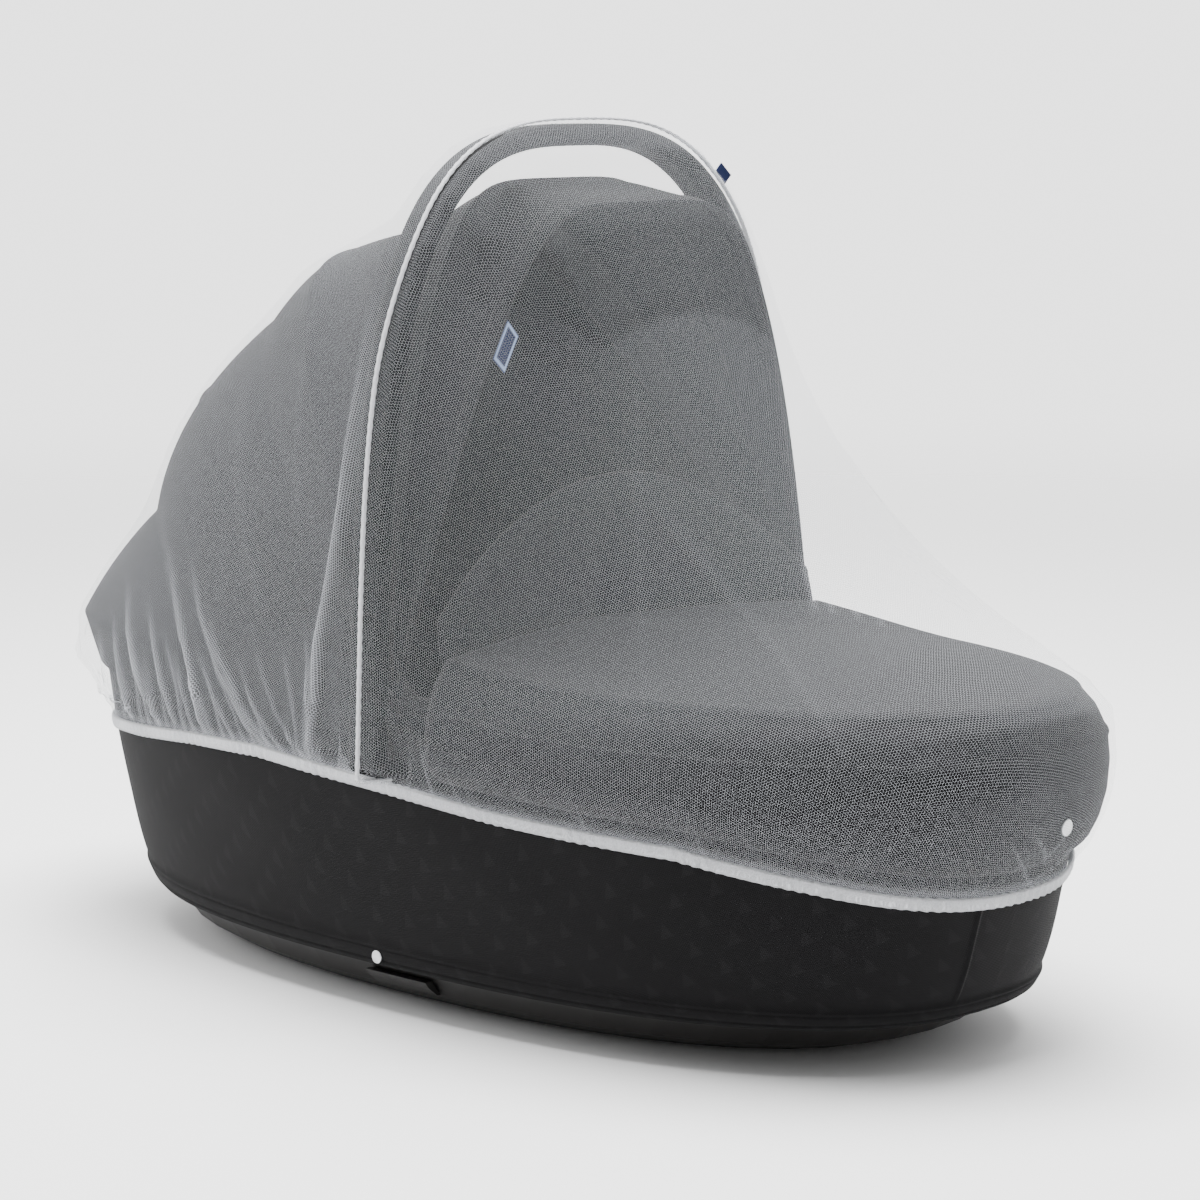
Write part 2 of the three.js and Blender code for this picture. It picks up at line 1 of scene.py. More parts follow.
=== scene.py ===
# A stroller mosquito net over its carrycot: two sheer panels, the seam that joins them and the white
# elastic edge, stretched over a carrying handle, a hood on bows and a foot cover.
import math

import bmesh
import bpy
import numpy as np
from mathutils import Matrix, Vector
from mathutils.bvhtree import BVHTree


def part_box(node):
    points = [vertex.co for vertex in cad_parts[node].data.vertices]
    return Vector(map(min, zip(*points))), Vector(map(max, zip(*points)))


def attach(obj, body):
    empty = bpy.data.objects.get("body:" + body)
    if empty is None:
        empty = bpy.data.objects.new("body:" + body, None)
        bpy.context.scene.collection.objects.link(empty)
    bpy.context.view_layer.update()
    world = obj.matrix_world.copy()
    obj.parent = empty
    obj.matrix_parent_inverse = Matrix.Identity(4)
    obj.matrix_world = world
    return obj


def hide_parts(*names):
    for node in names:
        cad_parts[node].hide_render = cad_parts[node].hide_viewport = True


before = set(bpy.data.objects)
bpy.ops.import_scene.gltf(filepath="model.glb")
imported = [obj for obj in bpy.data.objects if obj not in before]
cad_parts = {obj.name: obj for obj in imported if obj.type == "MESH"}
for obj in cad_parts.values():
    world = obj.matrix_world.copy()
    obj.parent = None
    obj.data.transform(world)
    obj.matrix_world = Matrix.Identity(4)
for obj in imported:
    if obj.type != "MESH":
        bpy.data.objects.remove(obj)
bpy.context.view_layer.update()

# The camera stands near the foot of the cot, a little above its rim, and looks at the near long side.
# The picture is square, and a long lens keeps the two ends of the cot at nearly one scale.
CAMERA = {
    "azimuth": 44.0,
    "elevation": 8.4,
    "distance": 2.4,
    "lens": 108.9,
    "sensor": 36.0,
    "target": (0.0368, 0.001, 0.2505),
}
turn = math.radians(CAMERA["azimuth"])
rise = math.radians(CAMERA["elevation"])
back = Vector((math.sin(turn) * math.cos(rise), -math.cos(turn) * math.cos(rise), math.sin(rise)))
camera = bpy.data.objects.new("camera", bpy.data.cameras.new("camera"))
bpy.context.scene.collection.objects.link(camera)
camera.location = Vector(CAMERA["target"]) + back * CAMERA["distance"]
camera.rotation_euler = back.to_track_quat("Z", "Y").to_euler()
camera.data.lens = CAMERA["lens"]
camera.data.sensor_width = CAMERA["sensor"]
bpy.context.scene.camera = camera


# A shader's numbers and colours: an expression on them adds the nodes that work it out.
# Everything that is not plain arithmetic comes from the one method, add.
class Shader:
    def __init__(self, name, group=None, last="Principled BSDF"):
        self.material = (bpy.data.materials if group is None else group).new(name)
        self.material.use_nodes = True
        self.tree = self.material.node_tree
        self.surface = self.tree.nodes[last]

    def add(self, kind, settings=None, inputs=None, out=0):
        made = self.tree.nodes.new(kind)
        for key, value in (settings or {}).items():
            setattr(made, key, value)
        for key, value in (inputs or {}).items():
            self.put(made.inputs[key], value)
        return Value(self, made.outputs[out])

    def put(self, socket, value):
        if isinstance(value, Value):
            self.tree.links.new(value.socket, socket)
        elif value is not None:
            socket.default_value = value

    def set(self, **inputs):
        for key, value in inputs.items():
            self.put(self.surface.inputs[key.replace("_", " ")], value)
        return self.material

    def mix(self, share, low, high):
        first, second = (c if isinstance(c, Value) else (*c, 1.0) for c in (low, high))
        colours = {"Factor": share, 6: first, 7: second}
        return self.add("ShaderNodeMix", {"data_type": "RGBA"}, colours, out=2)

    def object_place(self, scale=(1.0, 1.0, 1.0)):
        place = self.add("ShaderNodeTexCoord", out="Object")
        return self.add("ShaderNodeMapping", inputs={"Vector": place, "Scale": scale})

    def cloth_place(self):
        return self.add("ShaderNodeUVMap", {"uv_map": "cut"})

    def parts(self, vector):
        made = self.add("ShaderNodeSeparateXYZ", inputs={"Vector": vector})
        outputs = made.socket.node.outputs
        return [Value(self, outputs[k]) for k in range(3)]

    def noise(self, place, scale, detail):
        inputs = {"Vector": place, "Scale": scale, "Detail": detail}
        return self.add("ShaderNodeTexNoise", inputs=inputs)

    def bump(self, height, strength, distance):
        inputs = {"Height": height, "Strength": strength, "Distance": distance}
        return self.add("ShaderNodeBump", inputs=inputs)


class Value:
    def __init__(self, shader, socket):
        self.shader = shader
        self.socket = socket

    def maths(self, operation, first, second=None, third=None):
        inputs = {0: first, 1: second, 2: third}
        return self.shader.add("ShaderNodeMath", {"operation": operation}, inputs)

    def __add__(self, other):
        return self.maths("ADD", self, other)

    def __sub__(self, other):
        return self.maths("SUBTRACT", self, other)

    def __rsub__(self, other):
        return self.maths("SUBTRACT", other, self)

    def __mul__(self, other):
        return self.maths("MULTIPLY", self, other)

    def __truediv__(self, other):
        return self.maths("DIVIDE", self, other)

    def __lt__(self, other):
        return self.maths("LESS_THAN", self, other)

    __radd__ = __add__
    __rmul__ = __mul__

    def cos(self):
        return self.maths("COSINE", self)

    def fraction(self):
        return self.maths("FRACT", self)

    def size(self):
        return self.maths("ABSOLUTE", self)

    def clamped(self):
        return self.maths("MINIMUM", self.maths("MAXIMUM", self, 0.0), 1.0)


# The tub is a padded fabric shell over a hard body. Its near-black cloth has small tone-on-tone
# triangles, a hemmed band with two stitched lines along the bottom, and a piped seam near the foot.
def signed_power(value, power):
    return np.sign(value) * np.abs(value) ** power


def ease(value):
    value = np.clip(value, 0, 1)
    return value**2 * (3 - 2 * value)


def column(table, at, key, wanted):
    return np.interp(at, [row[key] for row in table], [row[wanted] for row in table])


# Where millimetres of the cot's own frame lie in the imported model: the handle's pins show it.
PIN_X = 33
shift = (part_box("handle_pivot_near")[0].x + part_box("handle_pivot_near")[1].x) / 2 - PIN_X / 1000
# The tub's outline at its foot and at its rim: half length a, half width b, squareness n and middle cx.
BODY = {
    "low": 30,
    "high": 200,
    "a": (346, 405),
    "b": (174, 188),
    "n": (2.45, 2.3),
    "cx": (8, -2.5),
    "swell": 0.55,
}
RIM = {"drop": 26, "rise": 15}
WALL = 7
TUB_FLOOR = 44


def body_line(z, around, out=0.0):
    z = np.asarray(z, float)
    share = (z - BODY["low"]) / (BODY["high"] - BODY["low"])
    share = np.clip(share, 0, 1.2) ** BODY["swell"]
    a, b, n, cx = (BODY[k][0] + (BODY[k][1] - BODY[k][0]) * share for k in ("a", "b", "n", "cx"))
    x = cx + signed_power(np.cos(around), 2 / n) * (a + out)
    y = signed_power(np.sin(around), 2 / n) * (b + out)
    return np.stack(np.broadcast_arrays(x, y, z), -1)


def rim_height(x):
    to_head = np.clip((45 - x) / 450, 0, 1)
    return BODY["high"] - RIM["drop"] * ease(x / 380) + RIM["rise"] * to_head


def even_turns(count):
    """Turns round the body that part its outline, at about half height, into equal lengths."""
    fine = np.linspace(0, 2 * np.pi, 4001)
    line = body_line(150.0, fine)
    length = np.r_[0, np.cumsum(np.linalg.norm(np.diff(line, axis=0), axis=1))]
    return np.interp(np.linspace(0, length[-1], count + 1), length, fine)


def finished(name, made, material):
    """The object of a shape that is done, at the origin and in one material."""
    mesh = bpy.data.meshes.new(name)
    made.to_mesh(mesh)
    made.free()
    mesh.materials.append(material)
    piece = bpy.data.objects.new(name, mesh)
    bpy.context.scene.collection.objects.link(piece)
    return piece


def cloth(name, rows, material, weld=True, thick=0.0, folds=None, cut=None):
    """A woven piece from rows of points in millimetres, with its cut's own measure as UV."""
    rows = np.asarray(rows, float)
    tall, wide = rows.shape[:2]
    made = bmesh.new()
    chart = made.loops.layers.uv.new("cut")
    gathered = made.verts.layers.float.new("folds")
    bmesh.ops.create_grid(made, x_segments=wide - 1, y_segments=tall - 1, size=0.5)
    if cut is None:
        across = np.zeros((tall, wide))
        across[:, 1:] = np.cumsum(np.linalg.norm(np.diff(rows, axis=1), axis=2), axis=1)
        across -= across[:, wide // 2 : wide // 2 + 1]
        down = np.zeros((tall, wide))
        down[1:] = np.cumsum(np.linalg.norm(np.diff(rows, axis=0), axis=2), axis=0)
    else:
        across, down = cut[..., 0], cut[..., 1]
    spot = {}
    for vertex in made.verts:
        i = round((vertex.co.y + 0.5) * (tall - 1))
        j = round((vertex.co.x + 0.5) * (wide - 1))
        spot[vertex.index] = (i, j)
        vertex.co = Vector(rows[i, j]) * 0.001 + Vector((shift, 0, 0))
        vertex[gathered] = 0.0 if folds is None else float(folds[i, j])
    for face in made.faces:
        for loop in face.loops:
            i, j = spot[loop.vert.index]
            loop[chart].uv = (across[i, j] * 0.001, down[i, j] * 0.001)
    if weld:
        bmesh.ops.remove_doubles(made, verts=made.verts, dist=2e-5)
    piece = finished(name, made, material)
    piece.data.shade_smooth()
    if thick:
        wall = piece.modifiers.new("wall", "SOLIDIFY")
        wall.thickness = thick * 0.001
        wall.offset = -1.0
        wall.use_even_offset = True
    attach(piece, "root")
    return piece


# The weave's threads as a wave, in radians a metre, and the cells of the triangles in metres.
WEAVE = {"threads": 5200.0, "wide": 0.03, "tall": 0.036}


def woven(name, dark, light, triangles=0.0, roughness=0.82, outline=None):
    """Matt polyester cloth: a fine plain weave, soft unevenness, and faint triangles in the same tone."""
    s = Shader(name)
    place = s.cloth_place()
    u, v, _ = s.parts(place)
    threads = (u * WEAVE["threads"]).cos() * 0.5 + (v * WEAVE["threads"]).cos() * 0.5
    cloud = s.noise(s.object_place(), 9.0, 3.0)
    shade = cloud * 0.6 + threads * 0.12 + 0.2
    if triangles:
        cells = [((u / WEAVE["wide"]).fraction(), (v / WEAVE["tall"]).fraction())]
        cells.append(((u / WEAVE["wide"] + 0.5).fraction(), (v / WEAVE["tall"] + 0.5).fraction()))
        for a, b in cells:
            inside = ((a - 0.5).size() < (b - 0.34) * 0.55) * (b < 0.66)
            shade = shade + inside * triangles
    colour = s.mix(shade.clamped(), dark, light)
    if outline:
        border = s.add("ShaderNodeAttribute", {"attribute_name": "folds"}, out="Fac")
        colour = s.mix(border, colour, outline)
    rough = roughness - threads * 0.05
    bump = s.bump(threads + cloud * 0.8, 0.35, 0.0003)
    s.set(Sheen_Weight=0.02, Sheen_Roughness=0.5, Specular_IOR_Level=0.12)
    return s.set(Base_Color=colour, Roughness=rough, Normal=bump)


tub_cloth = woven("tub_cloth", (0.0026, 0.0025, 0.0028), (0.0085, 0.0082, 0.0088), triangles=0.4)
# The piped seam stands a short way from the foot end: its place along the cot, height and half width.
PIPED_SEAM = {"x": 376, "high": 1.7, "turn": 0.008}
near_foot = np.linspace(-np.pi / 2, 0, 4000)
piped_turn = np.interp(PIPED_SEAM["x"], body_line(80, near_foot)[:, 0], near_foot)
close_turns = 2 * np.pi + piped_turn + np.linspace(-0.045, 0.045, 31)
turns = np.unique(np.r_[even_turns(280), close_turns])
ring_x = body_line(BODY["high"], turns)[:, 0]
top = rim_height(ring_x)
# The hemmed band at the bottom, with its two stitched lines as narrow grooves.
BAND = [
    {"share": 0.0, "out": -4.0},
    {"share": 0.0, "out": 0.3},
    {"share": 0.004, "out": 1.4},
    {"share": 0.02, "out": 1.8},
    {"share": 0.024, "out": 0.9},
    {"share": 0.03, "out": 1.8},
    {"share": 0.064, "out": 1.8},
    {"share": 0.068, "out": 0.9},
    {"share": 0.074, "out": 1.8},
    {"share": 0.084, "out": 1.3},
    {"share": 0.09, "out": 0.0},
]
WALL_END = 0.985
tub_rows = [body_line(BODY["low"] + (top - BODY["low"]) * p["share"], turns, p["out"]) for p in BAND]
for share in np.linspace(0.12, WALL_END, 26):
    height = BODY["low"] + (top - BODY["low"]) * share
    slack = 0.5 * np.sin(ring_x / 47 + share * 5) * np.sin(share * 9 + ring_x / 90)
    off_seam = (turns - 2 * np.pi - piped_turn) / PIPED_SEAM["turn"]
    piping = PIPED_SEAM["high"] * np.exp(-(off_seam**2))
    tub_rows.append(body_line(height, turns, slack * ease((WALL_END - share) * 12) + piping))
for lift, out in ((0.0, -1.0), (1.6, -2.6), (1.8, -4.2), (0.2, -6.2), (-4.0, -WALL)):
    tub_rows.append(body_line(top + lift, turns, out))
for share in np.linspace(0.9, 0.0, 14):
    tub_rows.append(body_line(TUB_FLOOR + (top - TUB_FLOOR) * share, turns, -WALL))
for share in (0.8, 0.5, 0.2, 0.02):
    row = body_line(TUB_FLOOR, turns, -WALL)
    row[:, :2] *= share
    tub_rows.append(row)
tub = cloth("tub_shell", tub_rows[::-1], tub_cloth)
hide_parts("tub")

# The tray is the moulded plastic underside, in a warm dark grey with a fine grain, and the latches,
# handle pins and feet are fixed to it. They keep their solids and take a moulded or rubber surface.
def moulded(name, dark, light, roughness, grain):
    s = Shader(name)
    place = s.object_place()
    cloud = s.noise(place, 7.0, 4.0)
    pits = s.noise(place, 1400.0, 1.0)
    bump = s.bump(pits, grain, 0.0002)
    s.set(Base_Color=s.mix(cloud, dark, light), Roughness=roughness + cloud * 0.12)
    return s.set(Specular_IOR_Level=0.4, Normal=bump)


tray_plastic = moulded("tray_plastic", (0.006, 0.0054, 0.0052), (0.012, 0.011, 0.0105), 0.42, 0.3)
foot_rubber = moulded("foot_rubber", (0.012, 0.012, 0.012), (0.02, 0.02, 0.02), 0.75, 0.5)
for name in ("tray", "latch_near", "latch_far", "handle_pivot_near", "handle_pivot_far"):
    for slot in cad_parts[name].material_slots:
        slot.material = tray_plastic
for name in ("foot_1", "foot_2", "foot_3", "foot_4"):
    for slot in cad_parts[name].material_slots:
        slot.material = foot_rubber

# The carrying handle is an arch of foam over metal in a sewn black sleeve, from one side of the tub to
# the other. Its section is a rounded oblong, wider along the cot than it is thick.
HANDLE = {
    "x": PIN_X,
    "lean": 22,
    "b": 200,
    "flare": 14,
    "low": 168,
    "base": 150,
    "top": 563,
    "n": 2.95,
    "width": 28,
    "thick": 15,
}
# How square the sleeve's section is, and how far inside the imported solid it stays.
SLEEVE_SQUARE = 3.4
SLEEVE_IN = 0.3


def handle_line(at, dx=0.0, out=0.0):
    up = np.sin(at) ** (2 / HANDLE["n"])
    z = HANDLE["base"] + (HANDLE["top"] + out - HANDLE["base"]) * up
    half = HANDLE["b"] + out + HANDLE["flare"] * (1 - up) ** 3
    x = HANDLE["x"] - HANDLE["lean"] * up + dx
    y = -signed_power(np.cos(at), 2 / HANDLE["n"]) * half
    return np.stack([x, y, z], -1)


def turn_at_height(z):
    share = (z - HANDLE["base"]) / (HANDLE["top"] - HANDLE["base"])
    return np.arcsin(share ** (HANDLE["n"] / 2))


def evenly(line, count, start=0.0, end=1.0):
    """Points of a line of points, an equal length apart."""
    length = np.r_[0, np.cumsum(np.linalg.norm(np.diff(line, axis=0), axis=1))]
    at = np.linspace(start, end, count + 1) * length[-1]
    return np.stack([np.interp(at, length, line[:, k]) for k in range(3)], -1)


leg = turn_at_height(HANDLE["low"])
spine = evenly(handle_line(np.linspace(leg, np.pi - leg, 3000)), 190)
ahead = np.gradient(spine, axis=0)
inward = np.stack([0 * ahead[:, 0], ahead[:, 2], -ahead[:, 1]], -1)
inward /= np.linalg.norm(inward, axis=1, keepdims=True)
corner = np.linspace(0, 2 * np.pi, 41)
half_width, half_thick = HANDLE["width"] / 2, HANDLE["thick"] / 2
section_x = signed_power(np.cos(corner), 2 / SLEEVE_SQUARE) * (half_width - SLEEVE_IN)
section_in = half_thick + signed_power(np.sin(corner), 2 / SLEEVE_SQUARE) * (half_thick - SLEEVE_IN)
seam_groove = 0.5 * np.exp(-((section_in - HANDLE["thick"] + 1) ** 2)) * (np.abs(section_x) < 1.5)
# The section at each place along the arch, drawn in at both ends to close the sleeve.
drawn_in = (0.02, 0.7, 0.93)
places = [(0, scale) for scale in drawn_in]
places += [(k, 1.0) for k in range(1, len(spine) - 1)]
places += [(len(spine) - 1, scale) for scale in drawn_in[::-1]]
handle_rows = []
for k, scale in places:
    middle = spine[k] + inward[k] * HANDLE["thick"] / 2
    dx = section_x[:, None] * np.array([[1.0, 0, 0]])
    into = (section_in - half_thick - seam_groove)[:, None] * inward[k]
    handle_rows.append(middle + (dx + into) * scale)
sleeve_cloth = woven("sleeve_cloth", (0.003, 0.003, 0.0033), (0.008, 0.008, 0.0086))
handle = cloth("handle_sleeve", handle_rows, sleeve_cloth)
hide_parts("handle")

# The hood is a canopy of black cloth sewn over bows that turn on the handle's pins. Its bows show as
# low piped ridges, the cloth sinks a little between them, and its front edge is bound.
HOOD_STATIONS = [
    {"angle": -6, "radius": 313, "taper": 0.46, "n": 5.6},
    {"angle": 8, "radius": 328, "taper": 0.44, "n": 5},
    {"angle": 20, "radius": 316, "taper": 0.42, "n": 4.4},
    {"angle": 33, "radius": 331, "taper": 0.3, "n": 4.6},
    {"angle": 47, "radius": 348, "taper": 0.32, "n": 3.6},
    {"angle": 60, "radius": 365, "taper": 0.29, "n": 4},
    {"angle": 75, "radius": 387, "taper": 0.04, "n": 2.6},
    {"angle": 88, "radius": 459, "taper": 0, "n": 2.6},
]
HOOD = {"x": 45, "z": 200, "b": 192, "narrowing": 1.2, "skirt_z": 182, "skirt_out": 3.4, "thick": 2.4}
# The bows' angles, and the bound edge: the angle that it reaches and how far it stands up.
BOWS = (8, 33, 60)
BOUND = {"to": -3.5, "high": 1.0}


def hood_line(angle, share, out=0.0):
    """One arch of the hood, from the near side over the top to the far side."""
    radius, taper, n = (column(HOOD_STATIONS, angle, "angle", k) for k in ("radius", "taper", "n"))
    around = share * np.pi
    up = np.sin(around) ** (2 / n)
    half = (HOOD["b"] + out) * (1 - taper * up ** HOOD["narrowing"])
    reach = up * (radius + out)
    lean = math.radians(angle)
    x = HOOD["x"] - reach * math.sin(lean)
    y = -signed_power(np.cos(around), 2 / n) * half
    return np.stack([x, y, HOOD["z"] + reach * math.cos(lean)], -1)


def ridges(at, places, high, half):
    """How high a piece's bows or piped lines raise it at one place across it."""
    return sum(high * math.exp(-(((at - place) / half) ** 2)) for place in places)


# The cloth's outer face stands this far outside the line of its stations.
PROUD = 1.5
first_angle, last_angle = HOOD_STATIONS[0]["angle"], HOOD_STATIONS[-1]["angle"]
at_binding = [-5.7, -5.3, -4.5, -3.6, -3.3]
at_bows = [np.array([-0.6, -0.3, 0.3, 0.6]) + b for b in BOWS]
angles = np.unique(np.r_[np.arange(first_angle, last_angle + 0.1, 1.0), at_binding, *at_bows])
hood_rows = []
for angle in angles:
    ridge = ridges(angle, BOWS, 1.3, 0.42)
    binding = BOUND["high"] * (angle < BOUND["to"])
    between = np.interp(angle, [first_angle, *BOWS, last_angle], range(len(BOWS) + 2))
    sink = -1.4 * math.sin(math.pi * between) ** 2
    arch = hood_line(angle, np.linspace(0, 1, 1500), PROUD + ridge + binding + sink)
    hood_rows.append(evenly(arch, 150))
last = hood_rows[-1]
a, b, n, cx = (BODY[k][1] for k in ("a", "b", "n", "cx"))
around = np.arctan2(signed_power(last[:, 1] / b, n / 2), signed_power((last[:, 0] - cx) / a, n / 2))
foot_line = body_line(HOOD["skirt_z"], around, HOOD["skirt_out"] + PROUD)
for share in np.linspace(0.15, 1, 10):
    puff = 0.8 * np.sin(np.arange(len(last)) * 0.9) * math.sin(math.pi * share)
    row = last * (1 - share) + foot_line * share
    row[:, 2] += puff * 0.3
    hood_rows.append(row)
hood_cloth = woven("hood_cloth", (0.004, 0.004, 0.0044), (0.010, 0.010, 0.011), triangles=0.12)
hood = cloth("hood_canopy", np.array(hood_rows), hood_cloth, weld=False, thick=HOOD["thick"])
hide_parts("hood")

# The foot cover is a fitted cloth apron over the tub's foot half, cut as a wall and a nearly flat top.
# Two piped lines go round it, and its lower edge is gathered in.
COVER_PROFILE = [
    {"z": 121, "out": 2},
    {"z": 130, "out": 9},
    {"z": 142, "out": 12.5},
    {"z": 160, "out": 14.5},
    {"z": 180, "out": 13.5},
    {"z": 196, "out": 10},
    {"z": 211, "out": 3},
    {"z": 224, "out": -9},
]
COVER = {"middle": 36, "turn": 14 / 62 * 2 * math.pi, "lift": 14, "swell": 6, "thick": 2.4}
COVER_STEPS = 180
PIPED = (197, 223)
# The height of the net's lower edge along the cot, which the cover's lower edge follows.
HEM = [
    {"x": -410, "z": 129},
    {"x": -300, "z": 139},
    {"x": -180, "z": 150},
    {"x": -100, "z": 153},
    {"x": 30, "z": 146},
    {"x": 120, "z": 139},
    {"x": 250, "z": 132},
    {"x": 330, "z": 118},
    {"x": 410, "z": 101},
]


def cover_lift(x, z):
    hem = column(HEM, x, "x", "z") - HEM[-1]["z"]
    share = ease((z - COVER_PROFILE[0]["z"] + 7) / 70)
    return hem + (COVER["lift"] * (1 - ease(x / 220)) - hem) * share


cover_turns = np.linspace(-COVER["turn"], COVER["turn"], COVER_STEPS + 1)
cover_low, cover_high = COVER_PROFILE[0]["z"], COVER_PROFILE[-1]["z"]
at_piping = [np.linspace(-4, 4, 9) * 0.55 + p for p in PIPED]
levels = np.unique(np.r_[np.linspace(cover_low, cover_high, 34), *at_piping, cover_high])
levels = levels[levels <= cover_high]
cover_rows = []
for level in levels:
    out = column(COVER_PROFILE, level, "z", "out") + PROUD
    out = out + ridges(level, PIPED, 1.2, 1.1)
    gather = np.sin(np.arange(COVER_STEPS + 1) * 1.7 + level * 0.05)
    gather = 0.7 * gather * ease((135 - level) / 12)
    height = level + cover_lift(body_line(level, cover_turns, out)[:, 0], level)
    cover_rows.append(body_line(np.minimum(height, BODY["high"]), cover_turns, out + gather))
    cover_rows[-1][:, 2] = height
ridge_row = cover_rows[-1]
pole = np.array([COVER["middle"], 0.0, 0.0])
crown = cover_high + cover_lift(np.array(COVER["middle"]), cover_high)
for share in [0.985, 0.96, *np.linspace(0.92, 0.0, 26)]:
    row = pole + (ridge_row - pole) * share
    swell = COVER["swell"] * (1 - share**2) * (0.3 + 0.7 * share)
    row[:, 2] = crown + (ridge_row[:, 2] - crown) * share + swell + 1.2
    cover_rows.append(row)
cover_cloth = woven("cover_cloth", (0.004, 0.004, 0.0044), (0.010, 0.010, 0.011), triangles=0.12)
cover = cloth("foot_cover", cover_rows, cover_cloth, thick=COVER["thick"])
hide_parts("cover")

# The wind flap is a strip of the same cloth, sewn to the cover's head edge. It stands up in front of
# the hood to shut out the wind, and its upper edge is rolled.
FLAP = {
    "top": 336,
    "drop": 45,
    "drop_at": 133,
    "half": 176,
    "thick": 2.4,
    "lean_to": 52,
    "bow": 8,
    "behind": 2.6,
    "sunk": 2.4,
    "least": 13,
}
top_rows = np.array(cover_rows[len(levels) - 1 :])
edge = np.concatenate([top_rows[:, 0], top_rows[::-1, -1]])
base = evenly(edge, 160)
base = base[np.abs(base[:, 1]) < FLAP["half"]]
flap_rows = []
for share in np.linspace(0, 1, 26):
    aside = (base[:, 1] / FLAP["drop_at"]) ** 2
    arch = FLAP["top"] - FLAP["drop"] * aside
    reach = FLAP["lean_to"] + FLAP["bow"] * aside - base[:, 0] + FLAP["behind"]
    lean = base[:, 0] - FLAP["behind"] + reach * share**1.6
    rise_to = np.maximum(arch, base[:, 2] + FLAP["least"])
    height = base[:, 2] - FLAP["sunk"] + (rise_to - base[:, 2] + FLAP["sunk"]) * share
    fold = 1.6 * np.sin(base[:, 1] / 23 + share * 2.2) * share * (1 - share) * 2
    edge_roll = 0.9 * ease((share - 0.93) / 0.04)
    x = lean - 6 * share * (1 - share) + fold - edge_roll
    flap_rows.append(np.stack([x, base[:, 1], height], -1))
flap = cloth("wind_flap", flap_rows, cover_cloth, weld=False, thick=FLAP["thick"])
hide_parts("cover_flap")

# The net is a fine white hexagonal knit in two panels. It is stretched from the handle over the hood to
# the head, and down over the foot cover, so it is nearly clear face on and whiter where it turns away.
# A sheet runs along the middle of its packed panel, which is twice "half" thick.
NET = {
    "clear": 3.1,
    "hem": 9,
    "edge_gap": 1.6,
    "edge_out": 2.2,
    "rib_low": 160,
    "half": 0.6,
    "smooth": 1.1,
    "pitch": 1.7,
}


def seam_shift(z):
    return 2 + 7 * ease((z - 400) / 110)


def hem_line(around, up, out):
    x = body_line(BODY["high"], around)[..., 0]
    z = column(HEM, x, "x", "z") + up
    return body_line(z, around, out)


def body_half_width(x, z):
    near_side = np.linspace(-np.pi / 2 - 1, -np.pi / 2 + 1, 2000)
    line = body_line(np.full(2000, z), near_side)
    return abs(np.interp(x, line[:, 0], line[:, 1]))


def rib_line(dx, count):
    start = turn_at_height(NET["rib_low"])
    arch = handle_line(np.linspace(start, np.pi - start, 2000), dx, NET["clear"])
    over = evenly(arch, 240)
    over[:, 0] += seam_shift(over[:, 2])
    x = over[0, 0]
    z = column(HEM, x, "x", "z") + NET["hem"] + NET["edge_gap"]
    y = body_half_width(x, z) + NET["edge_out"]
    return evenly(np.concatenate([[[x, -y, z]], over, [[x, y, z]]]), count)


def solid_of(name):
    """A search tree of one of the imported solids, in millimetres of the cot's own frame."""
    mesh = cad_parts[name].data
    points = [(v.co - Vector((shift, 0, 0))) * 1000 for v in mesh.vertices]
    return BVHTree.FromPolygons(points, [list(p.vertices) for p in mesh.polygons])


# The turn round the tub's rim at which the seam stands, and how far the panels reach into the edge.
NEAR_SEAM = -math.acos((HANDLE["x"] / BODY["a"][1]) ** (BODY["n"][1] / 2))
INTO_EDGE = 1.4
# Rays that find a panel start inside the cot, within these limits.
INSIDE = {"low_x": -170, "high_x": 150, "high_z": 165}


def guide_rows(side, wide, tall, end_share):
    """Rows of points that span a panel's four edges: seam, near hem, end of the cot and far hem."""
    last_turn = -NEAR_SEAM if side > 0 else -NEAR_SEAM - 2 * np.pi
    round_hem = np.linspace(NEAR_SEAM, last_turn, 6000)
    hem = evenly(hem_line(round_hem, NET["hem"] - INTO_EDGE, NET["edge_out"]), 4000)
    first = rib_line(side * 2 * NET["half"], wide)
    start = np.argmax(side * (hem[:, 0] - first[0, 0]) > 0) / 4000
    last = evenly(hem, wide, end_share, 1 - end_share)
    near = evenly(hem, tall, start, end_share)
    far = evenly(hem, tall, 1 - start, 1 - end_share)
    s = (np.arange(wide + 1) / wide)[None, :, None]
    t = (np.arange(tall + 1) / tall)[:, None, None]
    at_seam = first[0] * (1 - s) + first[-1] * s
    at_end = last[0] * (1 - s) + last[-1] * s
    corners = at_seam * (1 - t) + at_end * t
    return first[None] * (1 - t) + last[None] * t + near[:, None] * (1 - s) + far[:, None] * s - corners


